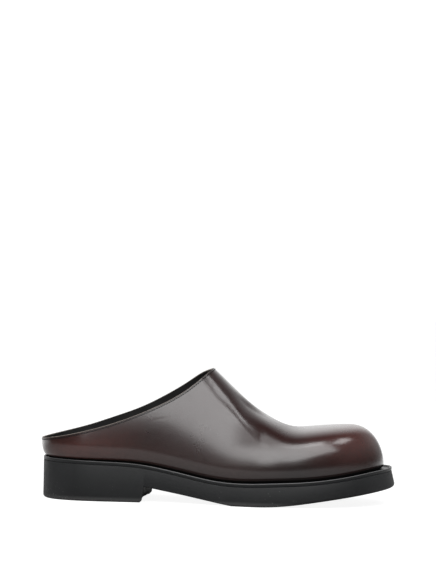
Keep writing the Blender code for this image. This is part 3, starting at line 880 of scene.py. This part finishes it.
# The raw cut edge painted pale: a painted highlight where its rounding catches the light.
RAW_EDGE_PAINTED_HIGHLIGHT = (0.20, 0.175, 0.155)
# Painted shade: black where the leather turns under into the crevice above the welt.
FOOT_CREVICE_SHADE = (0.0015, 0.0013, 0.0012)

# Painted shade of grooves on either side of the stitches: stops from the top edge, as shares of 4 mm.
GROOVE_SHADE_STOPS = [
    (0.10, 0.0), (0.14, 0.9), (0.22, 0.9), (0.27, 0.0),
    (0.37, 0.0), (0.41, 0.85), (0.53, 0.85), (0.58, 0.0),
]


def burnished_leather():
    """Polished calf: dark brown, burnished red at the toe and heel, with a fine grain under the polish
    and faint clouds of wax. Low on its sides its tone is painted lighter, as painted light from the floor,
    and a band under the top line is painted darker as painted shade. It is painted black where it turns
    under at the foot, as the crevice's painted shade, and along the top line its raw cut edge is painted
    pale as a painted highlight, with painted shade on either side of the stitches as in a fine groove.
    Where the vamp flexes, most of its polish is gone."""
    material, tree, shader = new_material("burnished_leather")
    x, y, z = node(tree, "SeparateXYZ", {0: node(tree, "TexCoord").outputs["Object"]}).outputs
    drift = noise(tree, 22.0, 5.0, 0.6)
    shifted = math_node(tree, "MULTIPLY_ADD", math_node(tree, "SUBTRACT", drift, 0.5), 0.035, x)
    along = fade(tree, shifted, -0.152, 0.152)
    # Low down the tone is painted lighter: painted light reflected from the floor.
    low = fade(tree, z, 0.030, 0.055, 0.80, 0.0)
    tone = mix_colour(tree, low, ramp(tree, along, BURNISH), ramp(tree, along, LOW_TONE_AND_FLOOR_LIGHT))
    tone = mix_colour(tree, fade(tree, noise(tree, 260.0, 3.0), 0.35, 0.75, 0.0, 0.35), tone, MOTTLE)

    to_top = node(tree, "Attribute", attribute_name="from_top").outputs["Fac"]
    # Painted shade under the top line.
    tone = mix_colour(tree, fade(tree, to_top, 0.004, 0.013, 0.6, 0.0), tone, PAINTED_SHADE_UNDER_TOP_LINE)
    # Painted shade on either side of the stitches, as in grooves.
    groove_shade = ramp(tree, fade(tree, to_top, 0.0, 0.004), GROOVE_SHADE_STOPS)
    tone = mix_colour(tree, groove_shade, tone, GROOVE_PAINTED_SHADE)
    # Painted highlight on the cut edge along the top line.
    raw_edge_highlight = fade(tree, to_top, 0.00025, 0.00045, 1.0, 0.0)
    tone = mix_colour(tree, raw_edge_highlight, tone, RAW_EDGE_PAINTED_HIGHLIGHT)
    to_foot = node(tree, "Attribute", attribute_name="from_foot").outputs["Fac"]
    # Painted shade of the crevice where the leather turns under at the foot.
    crevice_shade = fade(tree, to_foot, 0.0030, 0.0044, 1.0, 0.0, smooth=True)
    tone = mix_colour(tree, crevice_shade, tone, FOOT_CREVICE_SHADE)
    tree.links.new(tone, shader.inputs["Base Color"])

    grain = place_group(tree, GRAIN, Size=0.0009, Cells=0.6)["Height"]
    uneven = math_node(tree, "MULTIPLY_ADD", noise(tree, 70.0, 2.0), 0.8, grain)
    bump(tree, shader, uneven, 0.30, 0.0004)
    waxed = fade(tree, drift, 0.3, 0.7, 0.26, 0.34)
    # Roughness is raised and the coat taken off where shade and the edge highlight are painted.
    dulled_in_painted_marks = math_node(tree, "MAXIMUM", math_node(tree, "MAXIMUM", crevice_shade, raw_edge_highlight), groove_shade)
    tree.links.new(math_node(tree, "MULTIPLY_ADD", dulled_in_painted_marks, 0.4, waxed), shader.inputs["Roughness"])

    ahead = math_node(tree, "MULTIPLY", fade(tree, x, 0.008, 0.028, smooth=True),
                      fade(tree, x, 0.050, 0.080, 1.0, 0.0, smooth=True))
    upwards = math_node(tree, "MULTIPLY", fade(tree, z, 0.044, 0.054, smooth=True),
                        fade(tree, z, 0.062, 0.074, 1.0, 0.0, smooth=True))
    flexed = math_node(tree, "MULTIPLY", ahead, upwards)
    pores = fade(tree, grain, 0.25, 0.65, 1.0, 0.72)
    polish = math_node(tree, "MULTIPLY", pores, math_node(tree, "SUBTRACT", 1.0, dulled_in_painted_marks))
    polish = math_node(tree, "MULTIPLY", polish, math_node(tree, "MULTIPLY_ADD", flexed, -0.75, 1.0))
    tree.links.new(polish, shader.inputs["Coat Weight"])
    shader.inputs["Specular IOR Level"].default_value = 0.25
    shader.inputs["Coat Roughness"].default_value = 0.185
    shader.inputs["Coat IOR"].default_value = 1.6
    return material


leather_grids = shell(leather_outside, leather_inside, throat, TOP_EDGE_ROUNDING)
points, faces, kept = weld(leather_grids)
counts = [grid[0].size // 3 for grid in leather_grids]
to_foot = np.concatenate([from_foot.ravel(), np.zeros(counts[1] + counts[2]), np.ones(counts[3])])
to_edge = np.concatenate([from_top.ravel(), np.ones(counts[1] + counts[2]), np.full(counts[3], RIM_FROM_TOP)])
leather = new_piece("upper_leather", points, faces, burnished_leather(),
                    from_foot=to_foot[kept], from_top=to_edge[kept])
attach(leather, "root")
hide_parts("upper")

# LINING
# Thin black leather, glued to the inside of the upper and drawn down with it over the last. It is
# trimmed a little below the upper's top edge, where the stitches hold it.

LINING_GAP = 0.00005
LINING_DROP = 0.0003
LINING_ROUNDING = 0.0002
LINING_TOP_ROWS = np.array([0.0, 0.0010, 0.0025, 0.0050])


def plain_leather(name, scale, greys, roughness, grain, relief, specular):
    """Unpolished leather: soft clouds between two greys and between two roughnesses, over a grain."""
    material, tree, shader = new_material(name)
    soft = noise(tree, scale, 4.0)
    tree.links.new(ramp(tree, soft, list(zip((0.3, 0.7), greys))), shader.inputs["Base Color"])
    tree.links.new(ramp(tree, soft, list(zip((0.3, 0.7), roughness))), shader.inputs["Roughness"])
    bump(tree, shader, place_group(tree, GRAIN, **grain)["Height"], *relief)
    shader.inputs["Specular IOR Level"].default_value = specular
    return material


black_lining = plain_leather("black_lining", 70.0, (0.0045, 0.0085), (0.55, 0.68),
                             {"Size": 0.0008, "Cells": 0.4}, (0.15, 0.0002), specular=0.35)
lining_turns, *lining_throat = upper_turns(UPPER_STATIONS // 2, THROAT_STEPS // 2, VAMP_STEPS // 2)
lining_drop = LINING_DROP + TOP_EDGE_ROUNDING
lining_face = upper_grid(lining_turns, lining_throat, lining_drop, LINING_TOP_ROWS, BODY_ROWS // 2)[0]
lining_faces = quads(*lining_face.shape[:2], closed=True)
lining_face = creased(lining_face, outward(lining_face, lining_faces), HOLLOWS)
lining_normals = outward(lining_face, lining_faces)
lining_outside = offset(lining_face, lining_normals, LEATHER + LINING_GAP)
lining_inside = offset(lining_face, lining_normals, UPPER_WALL)
points, faces = weld(shell(lining_outside, lining_inside, lining_throat, LINING_ROUNDING))[:2]
lining = new_piece("upper_lining", points, faces, black_lining)
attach(lining, "root")
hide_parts("upper")

# TOP LINE STITCHING
# One row of dark waxed thread just under the top line, which holds the leather and its lining
# together. Each stitch is a short piece of thread that dips into its holes.

STITCH_INSET = 0.0017
STITCH_PITCH = 0.0023
STITCH_LENGTH = 0.0018
THREAD_RADIUS = 0.00034
STITCH_ARCH = 0.0001
STITCH_DIP = 0.0004
STITCH_LOOP = 8
STITCH_STEPS = 7
STITCH_SHARP_ANGLE = 80
SMALL_STEP = 1e-4

opening = np.concatenate([np.arange(throat[1], len(turns)), np.arange(0, throat[0])])
edge = smooth_upper[-1, opening]
edge_normal = upper_normals[-1, opening]
run = np.roll(edge, -1, axis=0) - np.roll(edge, 1, axis=0)
down = np.cross(edge_normal, run)
down /= np.linalg.norm(down, axis=-1, keepdims=True)
down *= np.sign(-down[np.argmin(edge[:, 0]), 2])
seam = edge + down * STITCH_INSET
around = np.concatenate([seam, seam[:1]])
seam_length = np.concatenate([[0], np.cumsum(np.linalg.norm(np.diff(around, axis=0), axis=-1))])


def on_seam(values, at):
    """Values given at the seam's points, read at a distance along it, going round."""
    closed = np.concatenate([values, values[:1]])
    at = np.mod(at, seam_length[-1])
    return np.stack([np.interp(at, seam_length, closed[:, axis]) for axis in range(3)], -1)


count = int(seam_length[-1] / STITCH_PITCH)
starts = np.arange(count)[:, None] * (seam_length[-1] / count)
u = np.linspace(0, 1, STITCH_STEPS)[None, :]
at = starts + u * STITCH_LENGTH
centre = on_seam(seam, at)
normal = on_seam(edge_normal, at)
forward = on_seam(seam, at + SMALL_STEP) - on_seam(seam, at - SMALL_STEP)
forward /= np.linalg.norm(forward, axis=-1, keepdims=True)
beside = np.cross(normal, forward)

# A stitch is a tube on a line that falls by the fourth power of the place along it, from -1 to 1, and
# its thickness is the root of one less that power.
power = ((2 * u - 1) ** 4)[..., None, None]
thick = THREAD_RADIUS * np.sqrt(np.clip(1 - power, 0, 1))
arched = STITCH_ARCH - STITCH_DIP * power
angle = (2 * math.pi * np.arange(STITCH_LOOP) / STITCH_LOOP)[None, None, :, None]
ring_points = (centre[:, :, None] + normal[:, :, None] * (arched + thick * np.sin(angle))
               + beside[:, :, None] * thick * np.cos(angle))
one = quads(STITCH_STEPS, STITCH_LOOP, closed=True)[:, ::-1]
every = (one[None] + (np.arange(count) * STITCH_STEPS * STITCH_LOOP)[:, None, None]).reshape(-1, 4)
points, faces = weld([(ring_points, every)])[:2]


def waxed_thread():
    """Dark waxed thread, with its twist as fine slanting bands."""
    material, tree, shader = new_material("waxed_thread")
    inputs = {"Vector": node(tree, "TexCoord").outputs["Object"], "Scale": 900.0, "Distortion": 1.0}
    twist = node(tree, "TexWave", inputs, bands_direction="DIAGONAL").outputs[1]
    tree.links.new(ramp(tree, twist, [(0.2, 0.002), (0.8, 0.005)]), shader.inputs["Base Color"])
    bump(tree, shader, twist, 0.4, 0.0001)
    shader.inputs["Roughness"].default_value = 0.7
    shader.inputs["Specular IOR Level"].default_value = 0.15
    return material


stitching = new_piece("top_line_stitching", points, faces, waxed_thread(), STITCH_SHARP_ANGLE)
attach(stitching, "root")

# INSOLE SOCK
# The board that closes the shoe's floor, which the upper is lasted round, covered with a padded black
# leather sock that is glued on last.

INSOLE_THICKNESS = 0.0045
INSOLE_SIDE_GAP = 0.0007
LOW_RISE = 0.6
RISE_SAMPLES = 241
SOCK_EDGE_ROUNDING = 0.001
SOCK_EDGE_STEPS = 5
SOCK_STATIONS = 140
SOCK_ACROSS = 30
SOCK_DISH = 0.0006
SOCK_DISH_WHOLE_AT = 0.05

sock_turns = np.linspace(0, 1, SOCK_STATIONS)


def wall_inset(turns, height):
    """How far the inside of the upper stands in from the outline at a height above its foot: the
    outside moved in by the wall's thickness, square to itself, with the foot kept level."""
    grid, rises = np.meshgrid(turns, np.linspace(0, LOW_RISE, RISE_SAMPLES), indexing="ij")
    arch = upper_point(grid, rises)
    outer = np.sum((arch[..., :2] + [MIDDLE_X, 0] - outline(grid)) * inward(grid), axis=-1)
    outer_height = arch[..., 2] - foot_height(grid)
    slope = -np.gradient(outer, axis=1) / np.gradient(outer_height, axis=1)
    steepness = np.hypot(1, slope)
    inner = outer + UPPER_WALL / steepness
    inner_height = outer_height + UPPER_WALL * slope / steepness
    inner[:, 0] = outer[:, 0] + UPPER_WALL * steepness[:, 0]
    inner_height[:, 0] = 0
    inset = np.array([np.interp(height, up, across) for up, across in zip(inner_height, inner)])
    return inset + INSOLE_SIDE_GAP


def sock_side(turns):
    """Edge of the insole at each station: its wall, then a quarter circle over to its top."""
    top = GAP + INSOLE_THICKNESS
    shoulder = top - SOCK_EDGE_ROUNDING
    rows = [place(turns, wall_inset(turns, 0), seat_height, -GAP)]
    at_shoulder = wall_inset(turns, shoulder)
    for angle in np.linspace(0, math.pi / 2, SOCK_EDGE_STEPS):
        inset = at_shoulder + SOCK_EDGE_ROUNDING * (1 - math.cos(angle))
        rows.append(place(turns, inset, seat_height, -(shoulder + SOCK_EDGE_ROUNDING * math.sin(angle))))
    return np.stack(rows, axis=1)


sock_leather = plain_leather("sock_leather", 40.0, (0.008, 0.014), (0.5, 0.62),
                             {"Size": 0.0012, "Cells": 0.7}, (0.3, 0.0003), specular=0.5)
outer_sock, inner_sock = sock_side(sock_turns), sock_side(2 - sock_turns)
sock_share = np.linspace(0, 1, SOCK_ACROSS + 1)[None, 1:-1, None]
sock_top = inner_sock[:, -1:] * (1 - sock_share) + outer_sock[:, -1:] * sock_share
sock_width = np.linalg.norm(outer_sock[:, -1] - inner_sock[:, -1], axis=-1)[:, None]
sock_top[..., 2] = seat_height(sock_top[..., 0] + MIDDLE_X) + GAP + INSOLE_THICKNESS
dish = SOCK_DISH * (4 * sock_share * (1 - sock_share))[..., 0]
sock_top[..., 2] -= dish * smooth_step(0, SOCK_DISH_WHOLE_AT, sock_width)
sock_loops = np.concatenate([inner_sock, sock_top, outer_sock[:, ::-1]], axis=1)
points, faces = weld([(sock_loops, quads(SOCK_STATIONS, sock_loops.shape[1], closed=True))])[:2]
sock = new_piece("insole_sock", points, faces, sock_leather)
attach(sock, "root")
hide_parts("insole")

# STUDIO
# A plain white floor and three soft boxes: a wide one in front of the outer side, a long one over the
# heel and the collar, and a small one over the toe. The surround is pale behind the shoe and faint at
# its toe, and white where the camera sees it.

FLOOR_HALF_SIZE = 20
FLOOR_GREY = (0.42, 0.42, 0.42)
FLOOR_GREY_TO_CAMERA = (0.28, 0.28, 0.28)
FLOOR_GLOW_TO_CAMERA = 0.90
FLOOR_GLOW_BEHIND = 0.85
SURROUND_TO_CAMERA = 1.3
SIDE_GLOW = 0.06


def soft_box(name, at, towards, width, depth, radiance, roll=0.0):
    """A rectangular area light at a place, turned to a point and rolled, with the given radiance."""
    lamp = bpy.data.lights.new(name, "AREA")
    lamp.shape = "RECTANGLE"
    lamp.size, lamp.size_y = width, depth
    lamp.energy = radiance * math.pi * width * depth
    made = bpy.data.objects.new(name, lamp)
    made.location = at
    facing = (Vector(towards) - Vector(at)).to_track_quat("-Z", "Y").to_matrix()
    made.rotation_euler = (facing @ Matrix.Rotation(math.radians(roll), 3, "Z")).to_euler()
    made.visible_camera = False
    bpy.context.scene.collection.objects.link(made)
    return made


floor_mesh = bpy.data.meshes.new("floor")
corners = FLOOR_HALF_SIZE * np.array([(-1, -1, 0), (1, -1, 0), (1, 1, 0), (-1, 1, 0)])
floor_mesh.from_pydata(corners.tolist(), [], [(0, 1, 2, 3)])
floor_material, floor_tree, floor_shader = new_material("floor_white")
to_eye = node(floor_tree, "LightPath").outputs["Is Camera Ray"]
floor_tone = mix_colour(floor_tree, to_eye, FLOOR_GREY, FLOOR_GREY_TO_CAMERA)
floor_tree.links.new(floor_tone, floor_shader.inputs["Base Color"])
floor_y = node(floor_tree, "SeparateXYZ", {0: node(floor_tree, "TexCoord").outputs["Object"]}).outputs["Y"]
lit_behind = fade(floor_tree, floor_y, 0.04, 0.35, 0.0, FLOOR_GLOW_BEHIND)
lit_to_eye = math_node(floor_tree, "MULTIPLY", to_eye, FLOOR_GLOW_TO_CAMERA)
floor_glow = math_node(floor_tree, "MAXIMUM", lit_to_eye, lit_behind)
floor_tree.links.new(floor_glow, floor_shader.inputs["Emission Strength"])
floor_shader.inputs["Roughness"].default_value = 0.9
floor_shader.inputs["Specular IOR Level"].default_value = 0.1
floor_shader.inputs["Emission Color"].default_value = (1, 1, 1, 1)
floor_mesh.materials.append(floor_material)
floor = bpy.data.objects.new("floor", floor_mesh)
bpy.context.scene.collection.objects.link(floor)

soft_box("front_box", (0.0, -0.56, 0.64), (0.0, 0, 0.51), 1.00, 0.70, 4.3, roll=20)
soft_box("top_box", (-0.15, -0.39, 1.05), (-0.15, -0.39, 0), 0.86, 0.30, 5.2)
soft_box("side_box", (0.68, -0.25, 1.05), (0.68, -0.25, 0), 0.36, 0.50, 5.0)

world = bpy.data.worlds.new("studio")
bpy.context.scene.world = world
world.use_nodes = True
sky = world.node_tree
background = sky.nodes["Background"]
background.inputs["Color"].default_value = (1, 1, 1, 1)
to_x, to_y, to_z = node(sky, "SeparateXYZ", {0: node(sky, "TexCoord").outputs["Generated"]}).outputs
behind = fade(sky, to_y, 0.16, 0.80, 0.0, 0.95, smooth=True)
dimmed = math_node(sky, "MULTIPLY", behind, fade(sky, to_x, 0.15, 0.55, 1.0, 0.3, smooth=True))
ahead = fade(sky, to_x, 0.45, 0.85, 0.0, 0.30, smooth=True)
side_glow = math_node(sky, "MULTIPLY_ADD", ahead, fade(sky, to_z, 0.10, 0.40, 0.2, 1.0), SIDE_GLOW)
surround = math_node(sky, "MULTIPLY_ADD", dimmed, fade(sky, to_z, 0.2, 0.5, 1.0, 1.4), side_glow)
seen = math_node(sky, "MULTIPLY", node(sky, "LightPath").outputs["Is Camera Ray"], SURROUND_TO_CAMERA)
sky.links.new(math_node(sky, "MAXIMUM", surround, seen), background.inputs["Strength"])

bpy.context.scene.view_settings.view_transform = "Standard"

# CAMERA
# As the shoe is photographed: from its outer side, a little above and ahead, level to within a degree.

CAMERA_ELEVATION = 4.75
CAMERA_TURN = 3.0
CAMERA_ROLL = 1.0
CAMERA_DISTANCE = 1.5
AIM = Vector((0.0, 0.0, 0.045))
METRES_PER_PIXEL = 0.0008615
PICTURE = (436, 582)
AIM_PIXEL = (217.5, 447.1)
SENSOR_WIDTH = 36

up_angle, turn_angle = math.radians(CAMERA_ELEVATION), math.radians(CAMERA_TURN)
back = Vector((
    math.sin(turn_angle) * math.cos(up_angle),
    -math.cos(turn_angle) * math.cos(up_angle),
    math.sin(up_angle),
))
right = Vector((math.cos(turn_angle), math.sin(turn_angle), 0))
focal_pixels = CAMERA_DISTANCE / METRES_PER_PIXEL
facing = Matrix((right, back.cross(right), back)).transposed()
roll = Matrix.Rotation(math.radians(CAMERA_ROLL), 3, "Z")
pitch = Matrix.Rotation(math.atan((AIM_PIXEL[1] - PICTURE[1] / 2) / focal_pixels), 3, "X")
side = Matrix.Rotation(math.atan((PICTURE[0] / 2 - AIM_PIXEL[0]) / -focal_pixels), 3, "Y")
camera_data = bpy.data.cameras.new("camera")
camera_data.sensor_width = SENSOR_WIDTH
camera_data.lens = focal_pixels * SENSOR_WIDTH / PICTURE[1]
camera = bpy.data.objects.new("camera", camera_data)
turned = facing @ roll @ pitch @ side
camera.matrix_world = Matrix.LocRotScale(AIM + back * CAMERA_DISTANCE, turned.to_quaternion(), None)
bpy.context.scene.collection.objects.link(camera)
bpy.context.scene.camera = camera

bpy.context.view_layer.update()
